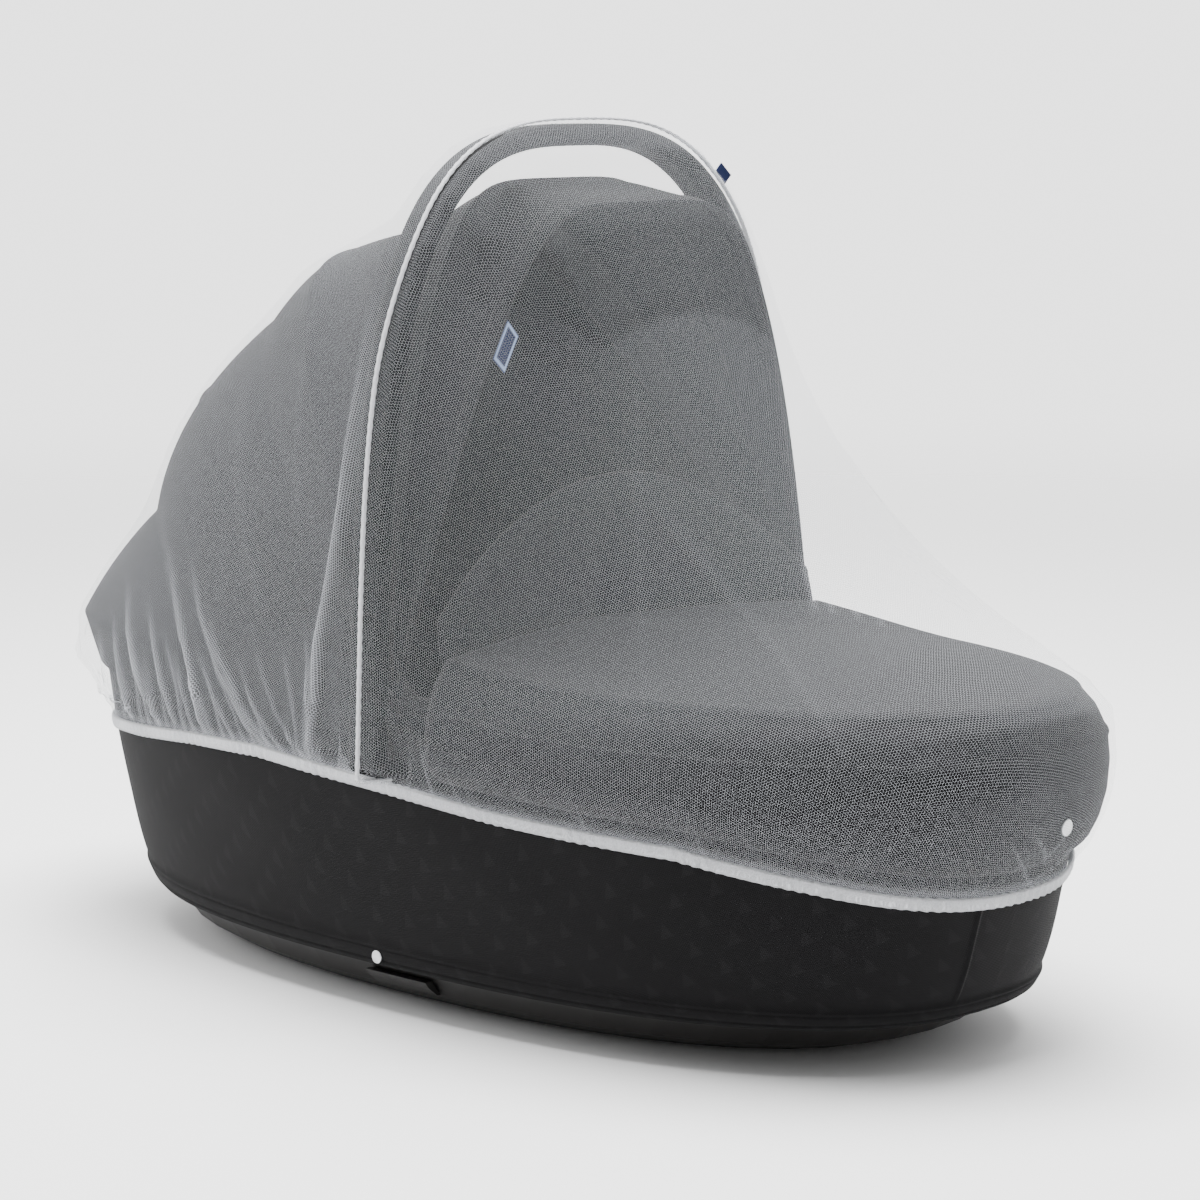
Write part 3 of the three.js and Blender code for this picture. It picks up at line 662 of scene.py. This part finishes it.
def panel(node, side, wide, tall, end_share):
    """Rows of points over one of the net's packed panels, from the seam to the end of the cot."""
    guide = guide_rows(side, wide, tall, end_share)
    tree = solid_of(node)
    rows = guide.copy()
    loose = np.zeros(rows.shape[:2], bool)
    for i in range(1, tall):
        for j in range(1, wide):
            aim = Vector(guide[i, j])
            x = np.clip(aim.x * 0.55, INSIDE["low_x"], INSIDE["high_x"])
            origin = Vector((x, aim.y * 0.3, min(aim.z - 8, INSIDE["high_z"])))
            hit, normal, _, _ = tree.ray_cast(origin, aim - origin)
            loose[i, j] = hit is None or hit.z < column(HEM, hit.x, "x", "z") + NET["hem"] + 6
            if not loose[i, j]:
                side_of = 1 if normal.dot(aim - origin) > 0 else -1
                rows[i, j] = hit + normal * (side_of * NET["half"])
    # Where the panel hangs free of its solid it spans the gap as a skin, and all of it is eased a little.
    for _ in range(700):
        middle = (rows[:-2, 1:-1] + rows[2:, 1:-1] + rows[1:-1, :-2] + rows[1:-1, 2:]) / 4
        rows[1:-1, 1:-1][loose[1:-1, 1:-1]] = middle[loose[1:-1, 1:-1]]
    even = rows.copy()
    for _ in range(40):
        even[1:-1, 1:-1] = (even[:-2, 1:-1] + even[2:, 1:-1] + even[1:-1, :-2] + even[1:-1, 2:]) / 4
    moved = even - rows
    length = np.linalg.norm(moved, axis=2, keepdims=True)
    return rows + moved * np.minimum(1, NET["smooth"] / np.maximum(length, 1e-9))


# Creases, one by one. Each is a line from its soft upper end down to the edge, in the picture's own
# square measure, with its half width there, its height in millimetres and how far it gathers.
PICTURE = 1200
CREASES = [
    (
        [(396, 224), (374, 320), (358, 420), (348, 500), (336, 570), (322, 640), (312, 700), (306, 768)],
        7, 4.4, 0.09,
    ),
    ([(384, 250), (364, 350), (351, 440), (342, 520), (332, 590), (324, 640), (318, 700)], 3, 1.6, 0.10),
    ([(332, 590), (324, 640), (319, 700), (308, 768)], 3, 2.4, 0.12),
    ([(303, 606), (309, 660), (313, 706), (316, 772)], 2.6, 1.9, 0.11),
    ([(280, 632), (291, 690), (303, 768)], 2.6, 1.9, 0.10),
    ([(168, 536), (178, 600), (190, 660), (207, 735)], 3.2, 2.8, 0.13),
    ([(188, 540), (201, 612), (220, 672), (266, 750)], 3.2, 3.0, 0.15),
    ([(205, 596), (219, 655), (244, 706), (282, 762)], 2.8, 2.4, 0.12),
    ([(128, 560), (130, 630), (141, 676), (160, 725)], 3.2, 2.8, 0.13),
    ([(146, 590), (156, 650), (176, 722)], 2.4, 1.8, 0.10),
    ([(112, 600), (118, 650), (131, 716)], 2.8, 2.2, 0.12),
    ([(97, 618), (104, 660), (115, 712)], 2.4, 1.8, 0.11),
    ([(172, 640), (184, 690), (195, 732)], 2.2, 1.5, 0.09),
    ([(232, 640), (252, 700), (290, 764)], 2.6, 1.8, 0.09),
    ([(246, 610), (262, 670), (276, 712), (318, 780)], 2.6, 1.6, 0.08),
    ([(214, 690), (226, 720), (236, 744)], 2.2, 1.4, 0.09),
    ([(140, 655), (150, 690), (160, 720)], 2.2, 1.4, 0.09),
    ([(120, 660), (126, 690), (133, 716)], 2.2, 1.3, 0.09),
    ([(252, 352), (243, 400), (240, 470), (246, 540), (262, 610)], 6, 1.4, 0.012),
    ([(343, 246), (318, 300), (303, 370), (298, 450), (300, 530)], 5, 1.2, 0.012),
    ([(160, 470), (166, 540), (176, 600), (183, 640)], 4, 1.4, 0.03),
    ([(590, 430), (650, 500), (720, 585), (790, 668), (846, 760)], 7, 1.2, 0.015),
    ([(634, 330), (638, 450), (641, 580), (646, 700)], 6, 1.0, 0.012),
    ([(800, 548), (806, 575), (815, 610)], 2.2, 1.0, 0.12),
    ([(812, 530), (821, 562), (832, 612)], 2.2, 1.0, 0.12),
    ([(836, 536), (846, 566), (857, 618)], 2.2, 1.0, 0.12),
    ([(870, 566), (876, 588), (882, 626)], 2.2, 1.0, 0.10),
    ([(412, 740), (410, 775), (407, 806)], 2.2, 1.2, 0.07),
    ([(417, 726), (425, 764), (437, 812)], 2.2, 1.5, 0.09),
    ([(440, 760), (452, 785), (468, 820)], 2.2, 1.0, 0.05),
    ([(575, 800), (582, 822), (592, 846)], 2.2, 1.2, 0.07),
    ([(690, 820), (700, 845), (710, 874)], 2.2, 1.0, 0.05),
    ([(1008, 836), (1022, 866), (1034, 900)], 2.4, 1.6, 0.09),
    ([(1030, 820), (1044, 852), (1054, 894)], 2.4, 1.4, 0.09),
    ([(1058, 812), (1064, 846), (1066, 884)], 2.4, 1.4, 0.09),
]
# The fine pleats that the elastic draws in at the head end: where each meets the edge, how far it leans
# back towards the head, and how long it is.
PLEATS = [
    (96, 4, 50), (103, 5, 62), (110, 8, 85), (118, 9, 58), (126, 13, 100), (134, 12, 66), (143, 16, 120),
    (151, 17, 80), (160, 20, 96), (169, 22, 140), (178, 22, 74), (187, 27, 118), (197, 28, 90),
    (207, 33, 150), (217, 30, 82), (228, 35, 112), (239, 32, 70), (250, 38, 96), (262, 34, 72),
    (275, 30, 84), (288, 26, 58), (299, 16, 70), (321, 3, 60),
]
# The places of the elastic edge in the picture that the pleats end on.
EDGE_X = (80, 107, 180, 260, 330)
EDGE_Y = (710, 718, 734, 759, 792)
# The pleats that the picture doesn't show, by their bearing from the handle in degrees (180 at the head).
HEAD_PLEATS = [
    127, 131.5, 137, 141, 146.5, 152, 156, 161.5, 166, 172, 177,
    181.5, 187, 192, 198, 203, 207.5, 213, 218, 224, 229,
]
for number, (x, lean, length) in enumerate(PLEATS):
    y = np.interp(x, EDGE_X, EDGE_Y)
    line = [(x - lean, y - length), (x - 0.38 * lean, y - 0.45 * length), (x, y + 8)]
    CREASES.append((line, 2.3, 1.3 + 0.25 * (number * 7 % 4), 0.07 + 0.02 * (number * 5 % 4)))


def outward(rows):
    """Unit normals of a grid of points, towards the side its rows turn out to."""
    normal = np.cross(np.gradient(rows, axis=1), np.gradient(rows, axis=0))
    return normal / np.maximum(np.linalg.norm(normal, axis=2, keepdims=True), 1e-9)


def picture_place(points):
    """Where points land in the picture, the far side folded over onto the near one."""
    right = np.array([math.cos(turn), math.sin(turn), 0.0])
    behind = np.array(back)
    away = points * 0.001
    away[..., 1] = -np.abs(away[..., 1])
    away += np.array([shift, 0.0, 0.0]) - CAMERA["target"]
    depth = CAMERA["distance"] - away @ behind
    scale = PICTURE * CAMERA["lens"] / CAMERA["sensor"] / depth
    x = PICTURE / 2 + scale * (away @ right)
    y = PICTURE / 2 - scale * (away @ np.cross(behind, right))
    return np.stack([x, y], -1)


def creased(rows):
    """The panel with its creases raised, and how far the net is gathered at each point."""
    place = picture_place(rows)
    height = np.zeros(rows.shape[:2])
    folds = np.zeros(rows.shape[:2])
    for line, half, high, gathered in CREASES:
        line = np.array(line, float)
        steps = np.linalg.norm(np.diff(line, axis=0), axis=1)
        done = np.r_[0, np.cumsum(steps)]
        nearest = np.full(rows.shape[:2], 1e9)
        along = np.zeros(rows.shape[:2])
        for a, b, length, start in zip(line, line[1:], steps, done):
            share = np.clip(((place - a) @ (b - a)) / length**2, 0, 1)
            distance = np.linalg.norm(place - a - share[..., None] * (b - a), axis=-1)
            along = np.where(distance < nearest, start + share * length, along)
            nearest = np.minimum(distance, nearest)
        fade = ease(along / (0.45 * done[-1]))
        height += high * fade * np.exp(-((nearest / half) ** 2))
        folds += gathered * fade * np.exp(-((nearest / (0.8 * half)) ** 2))
    normal = outward(rows)
    middle = rows - np.array([0, 0, 120.0])
    normal *= np.sign(np.sum(normal * middle))
    # The picture's creases fade out where the net turns away from the camera, and others take over.
    folded = normal.copy()
    folded[..., 1] = -normal[..., 1] * np.sign(rows[..., 1])
    shown = ease((folded @ np.array(back) + 0.12) / 0.3)
    height *= shown
    folds *= shown
    bearing = np.degrees(np.arctan2(-2 * rows[..., 1], rows[..., 0] - HANDLE["x"])) % 360
    over = rows[..., 2] - column(HEM, rows[..., 0], "x", "z")
    for number, at in enumerate(HEAD_PLEATS):
        reach = 46 + 17 * (number * 5 % 6)
        aside = bearing - at - over * 0.02 * math.sin(number * 2.3)
        line = np.exp(-((aside / 0.9) ** 2)) * ease(1 - over / reach)
        height += line * (1 - shown) * (1.4 + 0.3 * (number % 3))
        folds += line * (1 - shown) * 0.1
    free = np.ones(rows.shape[:2])
    free[0] = free[-1] = free[:, 0] = free[:, -1] = 0
    free *= ease((np.arange(rows.shape[0]) - 3) / 5)[:, None]
    above = over - NET["hem"]
    folds += 0.1 * np.exp(-((above / 4) ** 2))
    return rows + normal * (height * free * ease(above / 14))[..., None], folds


front_rows, front_folds = creased(panel("net_front", 1, 420, 170, 0.24))
rear_rows, rear_folds = creased(panel("net_rear", -1, 520, 186, 0.3))


# Rows of a hexagonal knit lie half the root of three times its pitch apart.
ROW_STEP = 0.866


def net_cloth(name, cover):
    """White knitted net: threads round hexagonal holes, which let through what lies behind."""
    s = Shader(name)
    u, v, _ = s.parts(s.cloth_place())
    wave = 2 * math.pi / (NET["pitch"] * 0.001 * ROW_STEP)
    a = (u * wave).cos()
    b = (u * (-wave / 2) + v * (wave * ROW_STEP)).cos()
    c = (u * (-wave / 2) - v * (wave * ROW_STEP)).cos()
    lattice = a + b + c
    gathered = s.add("ShaderNodeAttribute", {"attribute_name": "folds"}, out="Fac")
    thread = ((cover - lattice) * 0.34).clamped()
    alpha = (thread + gathered).clamped()
    s.set(Sheen_Weight=0.12, Sheen_Roughness=0.4, Specular_IOR_Level=0.1)
    s.material.surface_render_method = "DITHERED"
    return s.set(Base_Color=(0.63, 0.65, 0.69, 1.0), Roughness=0.75, Alpha=alpha)


def flat_cut(rows, step=10):
    """The panel laid out flat with the least stretch, in millimetres: worked out on a coarse copy."""
    tall, wide = rows.shape[:2]
    i, j = (np.unique(np.r_[0:n:step, n - 1]) for n in (tall, wide))
    copy = cloth("flat_copy", rows[np.ix_(i, j)], sleeve_cloth, weld=False)
    bpy.ops.object.select_all(action="DESELECT")
    copy.select_set(True)
    bpy.context.view_layer.objects.active = copy
    bpy.ops.object.mode_set(mode="EDIT")
    bpy.ops.mesh.select_all(action="SELECT")
    bpy.ops.uv.unwrap(method="MINIMUM_STRETCH", iterations=40, margin=0.0)
    bpy.ops.object.mode_set(mode="OBJECT")
    mesh = copy.data
    chart = np.zeros(len(mesh.loops) * 2)
    mesh.uv_layers["cut"].data.foreach_get("uv", chart)
    chart = chart.reshape(-1, 2)
    owner = np.zeros(len(mesh.loops), int)
    mesh.loops.foreach_get("vertex_index", owner)
    a, b = chart[2::4] - chart[0::4], chart[3::4] - chart[1::4]
    flat = np.abs(a[:, 0] * b[:, 1] - a[:, 1] * b[:, 0]).sum() / 2
    scale = 1000 * math.sqrt(sum(face.area for face in mesh.polygons) / flat)
    coarse = np.zeros((len(i) * len(j), 2))
    coarse[owner] = chart * scale
    coarse = coarse.reshape(len(i), len(j), 2)
    bpy.data.objects.remove(copy, do_unlink=True)
    fine = np.zeros((tall, wide, 2))
    for k in (0, 1):
        down = np.array([np.interp(range(tall), i, coarse[:, c, k]) for c in range(len(j))])
        for r in range(tall):
            fine[r, :, k] = np.interp(range(wide), j, down[:, r])
    return fine


front_knit = net_cloth("net_front_knit", -0.44)
rear_knit = net_cloth("net_rear_knit", -0.30)
front_cut = flat_cut(front_rows)
net_front = cloth("net_front_panel", front_rows, front_knit, False, 0.0, front_folds, front_cut)
rear_rows, rear_folds = rear_rows[:, ::-1], rear_folds[:, ::-1]
rear_cut = flat_cut(rear_rows)
net_rear = cloth("net_rear_panel", rear_rows, rear_knit, False, 0.0, rear_folds, rear_cut)
for piece, node in ((net_front, "net_front"), (net_rear, "net_rear")):
    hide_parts(node)

# The seam and the elastic edge are white overlocked strips. The seam lies on the handle's outer face,
# and the edge grips the tub all round in small uneven gathers.
# The overlocked thread's loops as a wave, in radians a metre.
LOOPS = 4200.0


def thread_white(name):
    s = Shader(name)
    place = s.cloth_place()
    u, v, _ = s.parts(place)
    loops = ((u + v * 0.6) * LOOPS).cos() * 0.5 + ((v - u * 0.6) * LOOPS).cos() * 0.5
    fuzz = s.noise(s.object_place(), 900.0, 3.0)
    bump = s.bump(loops * 0.5 + fuzz, 0.8, 0.0006)
    s.set(Sheen_Weight=0.6)
    white = s.mix(fuzz, (0.42, 0.43, 0.46), (0.86, 0.87, 0.9))
    return s.set(Base_Color=white, Roughness=0.85 + fuzz * 0.1, Normal=bump)


edge_white = thread_white("edge_white")


def strip(line, across, half, thick, ripple, closed):
    """Rows round a flat strip that follows a line: across it, over its face and back behind it."""
    ahead = np.gradient(line, axis=0)
    if closed:
        ahead[0] = ahead[-1] = line[1] - line[-2]
    out = np.cross(ahead, across)
    out /= np.linalg.norm(out, axis=1, keepdims=True)
    rows = []
    for spin in np.linspace(0, 2 * np.pi, 13):
        w = signed_power(math.cos(spin), 0.6) * half
        d = signed_power(math.sin(spin), 0.8) * thick / 2
        aside = (w + ripple * 0.35 * math.cos(spin))[:, None]
        proud = (d + ripple * math.sin(spin))[:, None]
        rows.append(line + across * aside + out * proud)
    return np.array(rows)


EDGE = {"steps": 1500, "out": 2.1, "half": 4.4, "thick": 2.4}
SEAM = {"steps": 560, "half": 1.7, "thick": 1.9}
around = even_turns(EDGE["steps"])
edge_line = hem_line(around, NET["hem"] / 2, EDGE["out"])
up_wall = hem_line(around, NET["hem"], EDGE["out"]) - hem_line(around, 0, EDGE["out"])
up_wall /= np.linalg.norm(up_wall, axis=1, keepdims=True)
step = np.arange(EDGE["steps"] + 1)
gathers = 0.95 * np.sin(step * 1.05 + 1.4 * np.sin(step * 0.037)) * (0.6 + 0.4 * np.sin(step * 0.11))
gathers[-1] = gathers[0]
edge_rows = strip(edge_line, up_wall, EDGE["half"], EDGE["thick"], gathers, True)
net_edge = cloth("net_edge", edge_rows, edge_white)
seam_line = rib_line(0.0, SEAM["steps"])
seam_ripple = 0.3 * np.sin(np.arange(SEAM["steps"] + 1) * 1.7)
along_cot = np.tile([1.0, 0, 0], (SEAM["steps"] + 1, 1))
seam_rows = strip(seam_line, along_cot, SEAM["half"], SEAM["thick"], seam_ripple, False)
seam = cloth("net_seam_strip", seam_rows, edge_white)
for piece, node in ((net_edge, "net_elastic"), (seam, "net_seam")):
    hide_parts(node)

# Two bare bits of woven navy tape: a label sewn to the hood's front edge, with a paler line woven
# round it, and a tab caught in the net's seam.
NAVY = {"dark": (0.006, 0.010, 0.04), "light": (0.012, 0.02, 0.07), "line": (0.25, 0.34, 0.55)}
LABEL = {"rows": 17, "across": 25, "angle": -6.2, "tip": 0.6, "from": 0.245, "to": 0.335, "tall": 13}
TAB = {"half": 6.4, "tall": 7.6, "slope": 0.72, "curl": 0.8}
tape = woven("navy_tape", NAVY["dark"], NAVY["light"], roughness=0.75, outline=NAVY["line"])
label_shares = np.linspace(LABEL["from"], LABEL["to"], LABEL["across"]) * 0.5
label_rows = []
for share in np.linspace(0, 1, LABEL["rows"]):
    angle = LABEL["angle"] - LABEL["tip"] * share
    label_rows.append(hood_line(angle, label_shares, -LABEL["tall"] * share))
border = np.zeros((LABEL["rows"], LABEL["across"]))
border[1:-1, 1:-1] = 1
border[3:-3, 3:-3] = 0
label = cloth("bare_label", label_rows, tape, weld=False, thick=0.8, folds=border)
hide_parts("hood_label")
low, high = (np.array(end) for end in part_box("net_tab"))
middle = (low + (high - low) * 0.5) * 1000 - np.array([shift * 1000, 0, 0])
slope = TAB["slope"]
along_seam = np.array([[0, math.cos(slope), -math.sin(slope)]])
along_tab = np.linspace(-TAB["half"], TAB["half"], 9)[:, None] * along_seam
tab_rows = []
for share in np.linspace(0, 1, 9):
    up_tab = (share - 0.5) * TAB["tall"] * np.array([0, math.sin(slope), math.cos(slope)])
    curl = TAB["curl"] * (share**2) * np.array([1.0, 0, 0])
    tab_rows.append(middle + along_tab + up_tab + curl)
tab = cloth("bare_tab", tab_rows, tape, weld=False, thick=0.9)
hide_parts("net_tab")

# The press studs are small pressed metal caps with a dished face. One is in the foot cover's end and
# one in the tub's band.
# A cap's outline: shares of its radius, and heights in units of its depth.
CAP = [
    (0.0, 0.5), (0.35, 0.5), (0.55, 0.28), (0.78, 0.3), (0.9, 0.62),
    (0.98, 0.45), (1.0, 0.1), (0.96, -0.5), (0.0, -0.5),
]
CAP_DEPTH = 0.0013


def stud(name, node, direction, radius, material):
    """A pressed cap: a rolled rim, a dished face and a low middle, spun round its axis."""
    low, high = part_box(node)
    middle = (low + high) / 2
    made = bmesh.new()
    points = [made.verts.new((r * radius, 0, h * CAP_DEPTH)) for r, h in CAP]
    edges = [made.edges.new((a, b)) for a, b in zip(points, points[1:])]
    full_turn = {"steps": 32, "angle": 2 * math.pi, "use_merge": True}
    bmesh.ops.spin(made, geom=points + edges, axis=(0, 0, 1), cent=(0, 0, 0), **full_turn)
    bmesh.ops.remove_doubles(made, verts=made.verts, dist=1e-6)
    bmesh.ops.recalc_face_normals(made, faces=made.faces)
    turned = direction.to_track_quat("Z", "Y").to_matrix().to_4x4()
    turned.translation = middle
    bmesh.ops.transform(made, matrix=turned, verts=made.verts)
    piece = finished(name, made, material)
    piece.data.shade_smooth()
    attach(piece, "root")
    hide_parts(node)


s = Shader("stud_metal")
scratch = s.noise(s.object_place((1.0, 1.0, 4.0)), 600.0, 2.0)
grey = s.mix(scratch, (0.55, 0.56, 0.57), (0.78, 0.79, 0.8))
stud_metal = s.set(Base_Color=grey, Metallic=0.8, Roughness=0.3 + scratch * 0.15)
stud("foot_stud", "snap_foot", Vector((1, 0.03, -0.1)), 0.0052, stud_metal)
stud("side_stud", "snap_side", Vector((0, -1, 0)), 0.0043, stud_metal)

# The cot stands on a pale floor that fades into a pale room, which is brighter behind the cot than
# behind the camera. A wide soft light hangs overhead, and a smaller one stands to the left.
s = Shader("floor_paint")
patch = s.noise(s.object_place(), 1.2, 1.0)
away = s.add("ShaderNodeVectorMath", {"operation": "LENGTH"}, {0: s.object_place()}, out=1)
near = (1.0 - (away - 1.0) / 3.0).clamped()
pale = s.mix(patch, (0.9, 0.9, 0.9), (0.93, 0.93, 0.93))
floor_paint = s.set(Base_Color=pale, Roughness=0.9, Alpha=near * near * (3.0 - near * 2.0))
made = bmesh.new()
bmesh.ops.create_circle(made, cap_ends=True, segments=96, radius=5.0)
floor = finished("floor", made, floor_paint)
floor.location = (0, 0, -0.0002)
room = Shader("studio", bpy.data.worlds, "Background")
bpy.context.scene.world = room.material
way = room.add("ShaderNodeTexCoord", out="Generated")
facing = room.add("ShaderNodeVectorMath", {"operation": "DOT_PRODUCT"}, {0: way, 1: -back}, out="Value")
GLOW = {"From Min": -0.3, "From Max": 0.8, "To Min": 0.5, "To Max": 2.7}
smooth = {"interpolation_type": "SMOOTHSTEP"}
glow = room.add("ShaderNodeMapRange", smooth, {"Value": facing, **GLOW}, out="Result")
room.set(Color=(1.0, 1.0, 1.0, 1.0), Strength=glow)
LIGHTS = [
    {"name": "overhead", "place": (0.0, 0.1, 2.7), "size": 2.2, "power": 262.0},
    {"name": "left_wall", "place": (-2.2, -1.4, 1.4), "size": 1.4, "power": 26.0},
]
lit = Vector((0, 0, 0.25))
for light in LIGHTS:
    data = bpy.data.lights.new(light["name"], "AREA")
    data.size = light["size"]
    data.energy = light["power"]
    lamp = bpy.data.objects.new(light["name"], data)
    bpy.context.scene.collection.objects.link(lamp)
    lamp.location = light["place"]
    lamp.rotation_euler = (Vector(light["place"]) - lit).to_track_quat("Z", "Y").to_euler()
